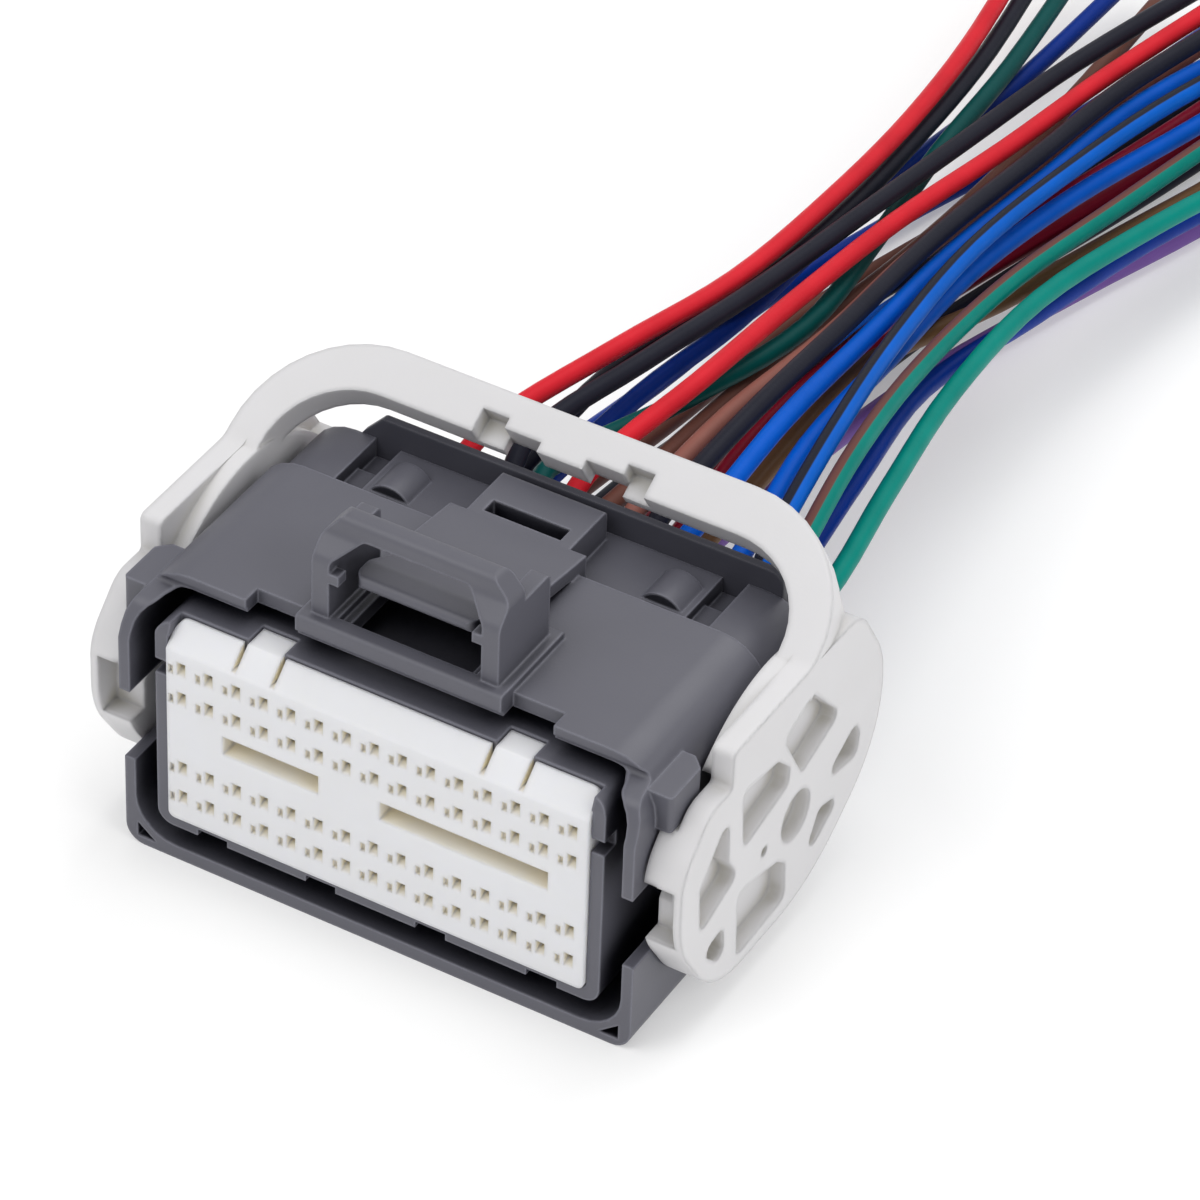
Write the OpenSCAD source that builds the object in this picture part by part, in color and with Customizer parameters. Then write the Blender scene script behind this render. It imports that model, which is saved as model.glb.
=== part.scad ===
// Sealed 60-way wire-to-board connector with a cam lever and a wire pigtail.
// X runs along the contact rows, Y from the mating face to the wires, Z up from the underside.

/* [Contacts] */
// Distance between neighbouring columns
column_pitch = 2.2; // [2:0.1:2.5]
// Distance between the two rows of a bank
row_pitch = 2.6; // [2.4:0.1:3]
// Distance between the two banks, inner row to inner row
bank_gap = 6.2; // [5.6:0.1:7]
// Outside diameter of a wire
wire_d = 1.5; // [1.2:0.05:1.6]
// Outside size of a terminal's receptacle box
terminal_box = 1.4; // [1.2:0.05:1.5]
// Wall of a terminal's receptacle box
terminal_wall = 0.2; // [0.15:0.05:0.3]
// Clearance of a terminal in its cavity, each side
cavity_play = 0.15; // [0.1:0.05:0.2]

/* [Front holder] */
// Rim of the holder outside the contact field, left and right
holder_rim = 1.2; // [1.1:0.05:1.6]
// Rim of the holder below the lowest row
holder_sill = 2.65; // [2.3:0.05:3]
// Rim of the holder above the highest row
holder_head = 1.6; // [1.4:0.05:2]
// Depth of the holder behind the mating face
holder_depth = 5.5; // [4.5:0.1:6.5]
// Thickness of the holder's front wall
holder_wall = 1; // [0.8:0.05:1.4]
// Height of the lip in front of the tower's upper wall
holder_lip = 0.85; // [0.6:0.05:0.95]
// Depth of the lip
lip_depth = 1.9; // [1.6:0.1:2.4]
// Reach of the two release tabs behind the mating face
tab_reach = 3.7; // [3:0.1:4.2]
// Width of a contact window
window = 0.7; // [0.6:0.05:0.8]
// Height of a contact window
window_h = 0.85; // [0.75:0.05:0.95]
// Height of the two key slots between the banks
key_slot_h = 1.6; // [1.2:0.1:2]
// Depth of the key slots
key_slot_depth = 3.5; // [2.5:0.1:4]
// Clearance of the pieces that slide into one another
fit = 0.08; // [0.05:0.01:0.15]

/* [Housing] */
// Wall of the inner tower
tower_wall = 1; // [0.8:0.05:1.3]
// Moat between the tower and the shroud at the sides and below
moat = 1.75; // [1.5:0.05:2.2]
// Gap between the tower and the underside of the deck
deck_moat = 1.2; // [1:0.05:1.6]
// Depth of the moat behind the mating face
moat_depth = 13.5; // [12:0.1:14.5]
// Wall of the shroud at the sides
shroud_wall = 0.85; // [0.7:0.05:1.2]
// Wall of the shroud below
shroud_floor = 1.1; // [0.9:0.05:1.5]
// Thickness of the deck
deck = 1.2; // [1:0.05:1.5]
// Radius of the rounded shoulders
shoulder_r = 3.7; // [3:0.1:4.2]
// Height of the lower side walls at the mating face
side_wall_h = 7.5; // [6:0.1:8.5]
// Height of the side openings for the mating cam pins
side_gap = 6.4; // [5.6:0.1:6.8]
// Depth of the side openings
side_gap_depth = 10; // [8:0.1:11]
// Front edge of the deck
deck_front = 2.9; // [2.4:0.1:3.4]
// Rear edge of the deck
deck_rear = 17.3; // [16.6:0.1:17.6]
// Drop from the deck to the rear tier
tier_drop = 1.2; // [1:0.05:1.4]
// Length of the housing
housing_len = 24; // [23.6:0.1:24.3]
// Depth of the pocket for the wire seal
seal_pocket = 4; // [3.6:0.1:4.4]
// Length of the stop lugs beside the deck
lug_len = 4.65; // [4:0.05:4.7]
// Reach of the stop lugs outside the shroud
lug_reach = 1.2; // [0.9:0.05:1.3]
// Height of the stop lugs
lug_h = 3; // [2.4:0.1:3.2]

/* [Lock] */
// Half width of the lock arch outside
arch_half = 7.3; // [6.9:0.1:7.5]
// Width of each leg of the arch
arch_leg = 1.35; // [1.1:0.05:1.6]
// Height of the arch above the deck
arch_h = 8.3; // [7.9:0.1:8.6]
// Front face of the legs
arch_front = 3.65; // [3.3:0.05:4]
// Rear end of the guard walls
guard_rear = 10.2; // [9:0.1:10.4]
// Height of the guard walls above the deck
guard_h = 5.8; // [5:0.1:6]
// Half width of the lock tongue
tongue_half = 4.75; // [4.2:0.05:4.9]
// Height of the tongue's upper face above the deck
tongue_h = 4.05; // [3.8:0.05:4.4]
// Thickness of the tongue and its arm
tongue_t = 1; // [0.8:0.05:1.2]

/* [Lever] */
// Distance of the hinge axis behind the mating face
hinge_y = 16.5; // [16.2:0.1:16.7]
// Height of the hinge axis
hinge_z = 10.5; // [10.3:0.1:10.8]
// Diameter of the hinge trunnions
trunnion_d = 4; // [3.4:0.1:4.4]
// Running clearance of the trunnions, on the diameter
trunnion_play = 0.16; // [0.1:0.02:0.2]
// Length of the trunnions outside the shroud
trunnion_len = 1.2; // [1:0.05:1.3]
// Gap between the housing's sides and the cam plates
lever_gap = 0.2; // [0.15:0.05:0.35]
// Thickness of a cam plate
cam_plate_t = 2.9; // [2.7:0.05:3]
// Reach of the cam plates in front of the hinge
plate_front = 15.7; // [15.2:0.1:16]
// Reach of the cam plates behind the hinge
plate_rear = 11.9; // [11:0.1:12.5]
// Reach of the cam plates below the hinge
plate_low = 8.1; // [7.6:0.1:8.6]
// Depth of the pockets in a cam plate
pocket_depth = 1.3; // [1:0.05:1.35]
// Height of the cam groove's mouth
groove_mouth = 5.2; // [4.6:0.1:5.6]
// Width of the cam groove
groove_w = 3.6; // [3.2:0.1:4]
// Depth of the cam groove
groove_depth = 0.95; // [0.8:0.05:1]
// Stroke that the lever gives the mating pins
pin_stroke = 6.5; // [5:0.1:7]
// Travel of the lever in degrees
lever_travel = 42; // [36:1:42]
// Slope of the bail in degrees
bail_slope = 32; // [31:1:34]
// Reach of the bail along its slope
bail_reach = 10.4; // [10.2:0.1:10.8]
// Width of the bail's crossbar
bail_w = 3.65; // [3.2:0.05:3.7]
// Thickness of the bail's strap
bail_t = 2.5; // [2.2:0.05:2.6]
// Outer radius of the bail's bends
bail_r = 9.5; // [8.5:0.1:10]
// Depth of the grip's recess in the crossbar
grip_depth = 1.05; // [0.8:0.05:1.2]
// Half width of the grip's recess
grip_half = 4.75; // [4.2:0.05:5.2]

/* [Rear cover] */
// Half width of the cover plate
cover_half = 18.6; // [18:0.1:19.4]
// Thickness of the cover plate
cover_t = 1.6; // [1.2:0.1:2]
// Height of the cover's lip above the rear tier
cover_rise = 1.85; // [1.4:0.05:1.95]
// Thickness of the lip
cover_lip = 0.6; // [0.5:0.05:0.7]
// Diameter of the cover's wire holes
cover_hole_d = 1.9; // [1.8:0.05:2]

/* [Hidden] */
$fn = 48;
eps = 0.01;
past = 1;

housing_grey = [0.36, 0.36, 0.39];
holder_white = [0.93, 0.93, 0.90];
lever_white = [0.86, 0.86, 0.84];
seal_grey = [0.20, 0.20, 0.21];
contact_tin = [0.78, 0.78, 0.76];
red = [0.85, 0.13, 0.16];
black = [0.10, 0.10, 0.12];
navy = [0.05, 0.13, 0.38];
blue = [0.02, 0.31, 0.72];
green = [0.02, 0.50, 0.42];
dark_green = [0.02, 0.33, 0.30];
brown = [0.40, 0.24, 0.18];
tan = [0.45, 0.30, 0.18];
maroon = [0.45, 0.05, 0.12];
purple = [0.42, 0.27, 0.58];

// Distances behind the mating face at which each wire's place is given, after a straight stretch
stations = [32, 45, 60, 76, 92, 108, 130];

// Heights of the wires at the stations, by their lay in the bundle
top_lay = [19.5, 19, 16.5, 14, 11.5, 9.5, 7.4];
upper_lay = [19, 18.5, 15.5, 12.5, 10, 8, 5.9];
second_lay = [18, 17, 14.5, 11.8, 9.2, 7.2, 5.5];
sinking_lay = [17.5, 15.5, 12.5, 9.5, 7, 5, 3.6];
arched_lay = [15.8, 16.5, 14.8, 12.2, 9.8, 8, 6.6];
side_lay = [15.8, 15.5, 13.8, 11.8, 9.8, 8.2, 6.5];
third_lay = [15.5, 15.5, 13, 10, 7.5, 5.5, 4.1];
low_lay = [9, 7.5, 4.5, 2, 1.1, 0.8, 0.8];
floor_lay = [6.5, 5, 3, 1.4, 0.9, 0.8, 0.8];

// One wire a line: colour, column from the left, row from below, lay, and places across the bundle
wires = [
    [red, 2, 3, top_lay, [-10.5, -8, -6.5, -7, -8.5, -11, -15.8]],
    [black, 4, 3, top_lay, [-7.5, -5.5, -4.5, -4, -3.5, -2.5, 0.9]],
    [dark_green, 5, 3, second_lay, [-5.5, -2, -0.5, -3, -6, -8, -11.4]],
    [red, 6, 3, top_lay, [-2, -1, -1.5, -1.5, -0.5, 0.5, 3.3]],
    [brown, 7, 3, sinking_lay, [0, -0.5, -1.5, -1.5, -2, -3, -4.4]],
    [brown, 8, 3, second_lay, [2, 1.5, 1.5, 0.5, 1, 1.5, 4.3]],
    [black, 9, 3, top_lay, [4.5, 4, 3, 2, 2, 2.5, 5.9]],
    [blue, 10, 3, upper_lay, [7, 6, 4.5, 3, 3, 3.5, 8.3]],
    [blue, 12, 3, second_lay, [10.5, 8, 6.5, 5, 5.5, 8, 12.1]],
    [blue, 13, 3, top_lay, [12.5, 10, 7, 5, 5, 6.5, 11.3]],
    [green, 14, 3, upper_lay, [14.5, 12, 9.5, 8.5, 9.5, 11, 13.8]],
    [black, 3, 2, arched_lay, [-8.5, -8.4, -6.2, -6.5, -8, -10, -14.1]],
    [navy, 4, 2, third_lay, [-6.5, -6, -6, -7.5, -8, -7.5, -7.5]],
    [maroon, 9, 2, third_lay, [4.5, 3.5, 2.5, 2.5, 3.5, 5.5, 8.9]],
    [tan, 10, 2, third_lay, [6.5, 6, 4.5, 7.5, 10, 12.8, 15.6]],
    [navy, 13, 2, third_lay, [13.5, 12, 9.5, 10.5, 12, 15, 18.4]],
    [green, 14, 2, side_lay, [16.5, 14.5, 11.9, 10.9, 13, 16.6, 20.2]],
    [navy, 1, 1, low_lay, [-13, -12.5, -12.5, -12.5, -9.5, -5, -0.5]],
    [black, 4, 1, low_lay, [-6.5, -6.5, -6.5, -6.8, -3.8, 0.4, 4.8]],
    [maroon, 6, 1, low_lay, [-2.5, -2.5, -3, -3, 0, 4, 8.6]],
    [purple, 8, 1, low_lay, [2.5, 2.5, 2, 3, 7, 11.8, 15.6]],
    [brown, 2, 0, floor_lay, [-11, -10.5, -10, -9.5, -6, -1.5, 2.9]],
    [blue, 5, 0, floor_lay, [-4.5, -4.5, -4.5, -5, -1.9, 2.2, 6.7]],
    [black, 7, 0, floor_lay, [0, 0, -0.5, -1, 1.9, 5.8, 10.5]]];

// Contacts in each of the four rows
columns = 15;

// Heights of the contact rows, lowest first
tower_low = shroud_floor + moat;
holder_low = tower_low + tower_wall + fit;
low_row = holder_low + holder_sill;
row_z = [low_row, low_row + row_pitch, low_row + row_pitch + bank_gap, low_row + 2 * row_pitch + bank_gap];
top_row = row_z[3];
bank_mid = (row_z[1] + row_z[2]) / 2;

// Widths, from the middle outwards
field_half = (columns - 1) / 2 * column_pitch;
holder_half = field_half + holder_rim;
tower_in = holder_half + fit;
tower_out = tower_in + tower_wall;
shroud_in = tower_out + moat;
shroud_out = shroud_in + shroud_wall;
lug_out = shroud_out + lug_reach;
lever_in = shroud_out + lever_gap;
lever_layer = lug_out + lever_gap;
lever_out = lever_in + cam_plate_t;

// Heights, from the contacts upwards
holder_top = top_row + holder_head;
tower_top = holder_top + fit + tower_wall;
deck_low = tower_top + deck_moat;
deck_top = deck_low + deck;
tier_top = deck_top - tier_drop;

// Faces that follow one another from front to rear
flap_front = -0.3;
shroud_front = 0.2;
tower_front = 0.3;
lug_front = 2.3;
lug_rear = lug_front + lug_len;
lug_top = deck_top - 1.6;
lug_low = lug_top - lug_h;
cavity_start = holder_depth + 0.5;
seal_start = housing_len - seal_pocket;

// Cross-sections of a cavity and of the field of cavities
cavity_w = terminal_box + 2 * cavity_play;
cavity_h = terminal_box + 2 * cavity_play + 0.2;
function column_x(c) = (c - (columns - 1) / 2) * column_pitch;

// Helpers

function unit(v) = v / norm(v);

// Arc of radius r that rounds the corner b between its neighbours a and c
function corner_arc(a, b, c, r, steps) =
    r <= 0 ? [b] :
    let (u = unit(a - b), v = unit(c - b), half = acos(u * v) / 2, turn = 180 - 2 * half,
         centre = b + unit(u + v) * r / sin(half),
         from = b + u * r / tan(half) - centre, to = b + v * r / tan(half) - centre)
    [for (i = [0:steps]) centre + r * unit(from * sin(turn * (1 - i / steps)) + to * sin(turn * i / steps))];

// Outline whose corners [a, b, radius] are rounded
function rounded(corners, steps = 6) =
    let (n = len(corners), flat = [for (c = corners) [c.x, c.y]])
    [for (i = [0:n - 1])
        each corner_arc(flat[(i + n - 1) % n], flat[i], flat[(i + 1) % n], corners[i].z, steps)];

// Corners of an upright rectangle with its lower and upper radii
function box_corners(half, low, high, r_low, r_high) =
    [[-half, low, r_low], [half, low, r_low], [half, high, r_high], [-half, high, r_high]];

// Outline drawn in X and Z, pushed from one depth to another
module along_y(from, to) {
    translate([0, to, 0]) rotate([90, 0, 0]) linear_extrude(to - from) children();
}

// Outline drawn in Y and Z, pushed from one width to another
module along_x(from, to) {
    translate([from, 0, 0]) rotate([90, 0, 90]) linear_extrude(to - from) children();
}

module both_sides() {
    children();
    mirror([1, 0, 0]) children();
}

// Box between two corners
module block(low, high) {
    translate(low) cube(high - low);
}

module at_each_cavity() {
    for (z = row_z, c = [0:columns - 1]) translate([column_x(c), z]) children();
}

// Housing

deck_flat = shroud_out - shoulder_r;
notch_in = 8.05;
notch_out = 12.05;
notch_depth = 1.5;
plinth_h = 0.6;
deck_edge = 0.8;
moat_r = 3.2;
tower_r = 1.2;
tab_in = 8.4;
tab_out = 11.1;
arm_half = arch_half - arch_leg - 0.55;

function shell_corners(top) = box_corners(shroud_out, 0, top, 1.5, shoulder_r);

module moat_ring() {
    difference() {
        polygon(rounded(box_corners(shroud_in, shroud_floor, deck_low, moat_r, shoulder_r - shroud_wall)));
        polygon(rounded(box_corners(tower_out, tower_low, tower_top, tower_r, tower_r)));
    }
}

module lock_arch() {
    top = deck_top + arch_h;
    leg_in = arch_half - arch_leg;
    beam = 1.35;
    // Front view, cut to the side view that leans the beam back
    intersection() {
        along_y(arch_front, arch_front + 3.3) difference() {
            polygon(rounded([[-arch_half, deck_low, 0], [arch_half, deck_low, 0],
                             [arch_half, top - 1.7, 1.2], [arch_half - 1.4, top, 1],
                             [1.4 - arch_half, top, 1], [-arch_half, top - 1.7, 1.2]]));
            polygon(rounded([[-leg_in, deck_low - past, 0], [leg_in, deck_low - past, 0],
                             [leg_in, top - beam - 1.7, 0.8], [leg_in - 1.9, top - beam, 0.8],
                             [1.9 - leg_in, top - beam, 0.8], [-leg_in, top - beam - 1.7, 0.8]]));
        }
        along_x(-arch_half, arch_half) polygon(rounded([
            [arch_front, deck_low, 0], [arch_front + 3.3, deck_low, 0], [arch_front + 3.3, top, 0.8],
            [arch_front + 1.45, top, 0.6], [arch_front + 1.45, top - 1.4, 1], [arch_front, top - 3, 1.2]]));
    }
    both_sides() {
        // Guard wall behind the leg
        along_x(leg_in, arch_half) polygon(rounded([
            [arch_front + 1.9, deck_low, 0], [guard_rear, deck_low, 0], [guard_rear, deck_top + guard_h, 0.5],
            [arch_front + 1.9, deck_top + guard_h, 0]]));
        // Nub that catches the mating latch
        block([leg_in - 0.75, arch_front, deck_top + 3.6], [leg_in + eps, arch_front + 1, deck_top + 4.4]);
    }
}

module lock_arm() {
    platform = 0.95;
    intersection() {
        along_x(-arm_half, arm_half) polygon(rounded([
            [arch_front + 1.1, deck_top + tongue_h, 0.45], [arch_front + 3.1, deck_top + tongue_h, 1.5],
            [guard_rear + 0.6, deck_top + 2, 2], [deck_rear + 1, deck_top + platform, 0.5],
            [housing_len - 0.7, deck_top + platform, 0.4], [housing_len - 0.7, tier_top - 1, 0],
            [deck_rear - 0.3, tier_top - 1, 0], [deck_rear - 1, deck_top + platform + 0.2 - tongue_t, 0.4],
            [guard_rear + 0.3, deck_top + 2 - tongue_t, 1.5],
            [arch_front + 2.8, deck_top + tongue_h - tongue_t, 1],
            [arch_front + 1.1, deck_top + tongue_h - tongue_t, 0.45]]));
        translate([0, 0, tier_top - 2]) linear_extrude(deck_top) both_sides() polygon(rounded([
            [-eps, arch_front + 1.1, 0], [tongue_half, arch_front + 1.1, 1],
            [tongue_half, guard_rear + 0.5, 0],
            [arm_half, guard_rear + 0.5, 0.3], [arm_half, deck_rear + 1, 0],
            [tongue_half - 0.65, deck_rear + 1, 0], [tongue_half - 0.65, housing_len, 0],
            [-eps, housing_len, 0]]));
    }
}

module housing() color(housing_grey) {
    difference() {
        union() {
            difference() {
                union() {
                    along_y(flap_front, deck_rear) polygon(rounded(shell_corners(deck_top)));
                    along_y(deck_rear - past, housing_len) polygon(rounded(shell_corners(tier_top)));
                }
                housing_front_cuts();
                rear_tier_cuts();
            }
            // Plinth, lock and bumps on top
            along_x(-notch_in, notch_in) polygon(rounded([
                [deck_front - 0.1, deck_top - deck_edge, 0.2], [guard_rear + 0.8, deck_top - deck_edge, 0],
                [guard_rear + 0.8, deck_top + plinth_h, 0.2], [deck_front - 0.1, deck_top + plinth_h, 0.3]]));
            lock_arch();
            lock_arm();
            both_sides() {
                along_y(deck_rear + 1.8, deck_rear + 4.9)
                    intersection() {
                        translate([10.85, tier_top - 1.25]) circle(r = 1.84);
                        translate([9, tier_top - 1]) square([3.7, 3]);
                    }
                stop_lug();
                translate([shroud_out - 0.5, hinge_y, hinge_z]) rotate([0, 90, 0])
                    cylinder(d = trunnion_d, h = trunnion_len + 0.5);
            }
        }
        // Bay under the tongue, open to the moat
        block([-arm_half, arch_front + 0.4, deck_top], [arm_half, guard_rear + 1, deck_top + plinth_h + eps]);
        block([-tongue_half, arch_front + 0.8, deck_low - eps],
              [tongue_half, guard_rear - 0.5, deck_top + eps]);
        // Release slot in the lock's platform
        block([-3.05, deck_rear + 1.5, deck_top - 0.6], [3.05, deck_rear + 2.85, deck_top + 2]);
        tower_bore();
    }
}

// Moat, side openings and the edges of the mating face
module housing_front_cuts() {
    sill = side_wall_h + side_gap;
    along_y(flap_front - past, moat_depth) moat_ring();
    block([-shroud_out - past, flap_front - past, -past], [shroud_out + past, shroud_front, sill]);
    ring_half = tower_out + moat / 2;
    block([-ring_half, flap_front - past, tower_low - moat / 2], [ring_half, tower_front, deck_low]);
    // Upper edge of the tower steps back to take the holder's lip and tabs
    block([-holder_half, flap_front - past, holder_top], [holder_half, lip_depth + fit, deck_low - eps]);
    both_sides() {
        block([shroud_in - 0.4, flap_front - past, side_wall_h], [shroud_out + past, side_gap_depth, sill]);
        block([tab_in - fit, flap_front - past, holder_top],
              [tab_out + fit, tab_reach + fit, deck_low - eps]);
        // Slots in the tower's lower edge and a notch in its side
        for (x = [2, 6]) block([x * column_pitch - 1.2, -past, tower_low - eps],
                               [x * column_pitch + 1.2, moat_depth, tower_low + 0.55]);
        block([tower_in - past, -past, top_row - 1.8], [tower_out + 0.1, 1.8, top_row - 0.6]);
        // Cores in the thick lower corners
        along_y(-past, moat_depth) polygon([[shroud_out - 0.95, 1.9], [shroud_out - 0.95, 0.65],
                                            [shroud_out - 2.5, 0.65]]);
        // Notches in the front edge of the deck
        block([notch_in, -past, deck_low - eps], [notch_out, deck_front + notch_depth, deck_top + past]);
    }
    // Front edge of the deck, swept down into the flaps
    along_x(-shroud_out - past, shroud_out + past) polygon(rounded([
        [flap_front - past, deck_top + past, 0], [flap_front - past, deck_low - 3.4, 0],
        [flap_front, deck_low - 3.4, 0], [flap_front + 1.2, deck_low - 0.6, 1.2],
        [deck_front + 0.9, deck_low - 0.05, 0.3], [deck_front, deck_top - deck_edge, 0.2],
        [deck_front, deck_top + past, 0]]));
}

// Lowered middle and the two channels of the rear tier
module rear_tier_cuts() {
    block([-14.9, deck_rear, tier_top - 0.3], [14.9, housing_len + past, deck_top]);
    both_sides() {
        block([12.9, deck_rear + 0.7, tier_top - 1.1], [14.9, housing_len - 2.4, deck_top]);
        block([12.9, housing_len - 2.4 - eps, tier_top - 1.6], [14.9, housing_len + past, deck_top]);
    }
}

module stop_lug() {
    translate([0, 0, lug_low]) linear_extrude(lug_h) polygon(rounded([
        [shroud_in, lug_front, 0], [lug_out, lug_front, 0.3], [lug_out, lug_rear - 0.9, 0.2],
        [lug_out - 0.9, lug_rear, 0.2], [shroud_in, lug_rear, 0]]));
}

// Pocket for the holder, the cavities and the pocket for the wire seal
module tower_bore() {
    along_y(-past, cavity_start)
        polygon(rounded(box_corners(tower_in, holder_low - fit, holder_top + fit, 0.5, 0)));
    along_y(cavity_start - eps, seal_start + eps) at_each_cavity()
        square([cavity_w, cavity_h], center = true);
    along_y(seal_start, housing_len + past) polygon(rounded(seal_corners(0)));
}

// Front holder

tab_gap = 0.35;
lip_top = tower_top - 0.2;

module front_holder() color(holder_white) {
    difference() {
        union() {
            along_y(0, holder_depth)
                polygon(rounded(box_corners(holder_half, holder_low, holder_top, 0.5, 0)));
            holder_lip(holder_half, lip_depth);
            both_sides() intersection() {
                holder_lip(holder_half, tab_reach);
                block([tab_in, -past, holder_low], [tab_out, tab_reach, deck_low]);
            }
        }
        // Bevel of the upper edge
        along_x(-holder_half - past, holder_half + past)
            polygon([[-past, deck_top], [-past, top_row + 0.92], [0, top_row + 0.92],
                     [lip_depth - 0.2, lip_top], [lip_depth, deck_top]]);
        // Gaps beside the release tabs
        both_sides() for (x = [tab_in - tab_gap, tab_out])
            block([x, -past, holder_top - 0.6], [x + tab_gap, tab_reach + past, deck_low]);
        contact_windows();
        // Key slots between the banks, of unlike length
        along_y(-past, key_slot_depth) {
            key_slot(-5.5, -2);
            key_slot(0.2, 6.2);
        }
    }
}

module holder_lip(half, depth) {
    along_y(0, depth) polygon(rounded(box_corners(half, holder_top - past, lip_top, 0, 0.8)));
}

// Slot between two columns counted from the middle
module key_slot(from, to) {
    translate([from * column_pitch, bank_mid - key_slot_h / 2])
        square([(to - from) * column_pitch, key_slot_h]);
}

module contact_windows() {
    sill = -0.8;
    ramp = [0.5, 0.35];
    slot_depth = 0.35;
    along_y(-past, holder_wall + eps) at_each_cavity() translate([-window / 2, sill])
        square([window, window_h]);
    // Ramp that leads the pin up into the window
    for (c = [0:columns - 1], z = row_z)
        along_x(column_x(c) - window / 2, column_x(c) + window / 2) translate([0, z + sill])
            polygon([[-past, eps], [-past, -ramp.y], [0, -ramp.y], [ramp.x, 0], [ramp.x, eps]]);
    along_y(holder_wall, holder_depth + past) at_each_cavity() square([cavity_w, cavity_h], center = true);
    // Probe slot beside each window
    along_y(-past, slot_depth) at_each_cavity() translate([-1.06, sill - ramp.y]) square([0.4, 0.76]);
}

// Lever

plate_head = lug_rear + lever_gap;
kink_y = hinge_y + 1.1;
kink_z = deck_top - 0.35;
bail_half = lever_out;
bail_inner = lever_in + 0.15;
mouth_z = hinge_z + 1.75;
notch_ledge = 0.9;
trunnion_bore = trunnion_len - lever_gap + 0.15;

// Corners of a cam plate
plate_corners = [
    [plate_head, kink_z, 0.5], [hinge_y + 8, kink_z, 3], [hinge_y + plate_rear, hinge_z + 6, 8],
    [hinge_y + plate_rear, hinge_z - 1.5, 9], [hinge_y + 2.5, hinge_z - plate_low, 14],
    [hinge_y - 10.7, hinge_z - plate_low, 7], [hinge_y - plate_front, hinge_z - 0.5, 8],
    [hinge_y - plate_front, hinge_z + 5.7, 4], [hinge_y - 12.3, lug_top - 1.8, 2.5],
    [plate_head, lug_top - 1.8, 0.3]];

// Pockets of a cam plate round the hinge, as corners from its axis
plate_pockets = [
    [[1.5, 9.75], [5.75, 5.1], [0.5, 3.4], [-2.4, 8.35]],
    [[8.2, 2.4], [8.95, 0.95], [8.7, -0.85], [3.55, 0]],
    [[-3, 7], [-1.2, 5.2], [-1.35, 3.75], [-7.4, 2.45], [-7.9, 7.8]],
    [[6.9, -2.8], [3.45, -1.9], [1.1, -5.9]],
    [[-9.6, 7.35], [-13.3, 3.25], [-13, -1], [-8, 0.7], [-9.35, 2.75]],
    [[-2.4, -2.4], [-1.1, -3.45], [-0.9, -6.75], [-7.6, -7.15], [-7.85, -1.1]],
    [[-9.6, -2.7], [-9.3, -6.45], [-12.65, -3.2]]];
pocket_r = 0.7;

// Path of the mating pin as the turning plate sees it
function groove_point(t) =
    let (a = -lever_travel * t, y = pin_stroke * t + 1 - hinge_y, z = mouth_z - hinge_z)
    [hinge_y + y * cos(a) - z * sin(a), hinge_z + y * sin(a) + z * cos(a)];

// Ribbon of a given width along a path of points
function ribbon(path, width) =
    let (n = len(path),
         side = [for (i = [0:n - 1])
             let (d = unit(path[min(i + 1, n - 1)] - path[max(i - 1, 0)]))
             [-d.y, d.x]])
    concat([for (i = [0:n - 1]) path[i] + side[i] * width / 2],
           [for (i = [n - 1:-1:0]) path[i] - side[i] * width / 2]);

groove_path = [for (i = [0:8]) groove_point(i / 8)];

module on_slope(from, to) {
    translate([0, kink_y, kink_z]) rotate([bail_slope, 0, 0]) translate([0, 0, from])
        linear_extrude(to - from) children();
}

function up_slope(s) = [kink_y + s * cos(bail_slope), kink_z + s * sin(bail_slope)];

module cam_plate() {
    difference() {
        union() {
            along_x(lever_layer, lever_out) polygon(rounded(plate_corners, 10));
            // Inner layer stays inside the stop lug's path
            along_x(lever_in, lever_layer + eps) intersection() {
                polygon(rounded(plate_corners, 10));
                union() {
                    square([2 * housing_len, lug_low - 0.15]);
                    translate([hinge_y, hinge_z])
                        circle(r = norm([lug_rear - hinge_y, lug_low - hinge_z]) - 0.25);
                }
            }
            // Gusset that carries the bail's arm, kept inside the bail's bend
            intersection() {
                along_x(lever_layer, lever_out) polygon(rounded([
                    [plate_head, kink_z, 0.5], [kink_y, kink_z, 2], concat(up_slope(5.9), 0),
                    concat(up_slope(5.9) + [1.6, -1.3], 1), [hinge_y + 7.7, hinge_z + 8, 2],
                    [plate_head, hinge_z + 9.2, 0]]));
                on_slope(-housing_len, housing_len) polygon(bail_outline(housing_len));
            }
        }
        along_x(lever_out - pocket_depth, bail_half + past) for (pocket = plate_pockets)
            polygon(rounded([for (p = pocket) [hinge_y + p.x, hinge_z + p.y, pocket_r]], 4));
        cam_groove();
        // Blind bore on the trunnion, and the recesses outside
        along_x(lever_in - past, lever_in + trunnion_bore) translate([hinge_y, hinge_z])
            circle(d = trunnion_d + trunnion_play);
        along_x(lever_out - pocket_depth + 0.1, lever_out + past) translate([hinge_y, hinge_z])
            circle(d = trunnion_d);
        along_x(lever_out - pocket_depth, lever_out + past) translate([hinge_y - 4.35, hinge_z])
            circle(d = 0.8);
    }
}

module cam_groove() {
    along_x(lever_in - past, lever_in + groove_depth) {
        polygon(ribbon(groove_path, groove_w));
        translate(groove_path[8]) circle(d = groove_w);
    }
    along_x(lever_in - past, lever_out - 0.6)
        translate([-past, mouth_z - groove_mouth / 2])
            square([hinge_y - plate_front + 2.2 + past, groove_mouth]);
}

// Outer outline of the bail, from some way below the kink
function bail_outline(below) = rounded(box_corners(bail_half, -below, bail_reach, 0, bail_r), 10);

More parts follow.
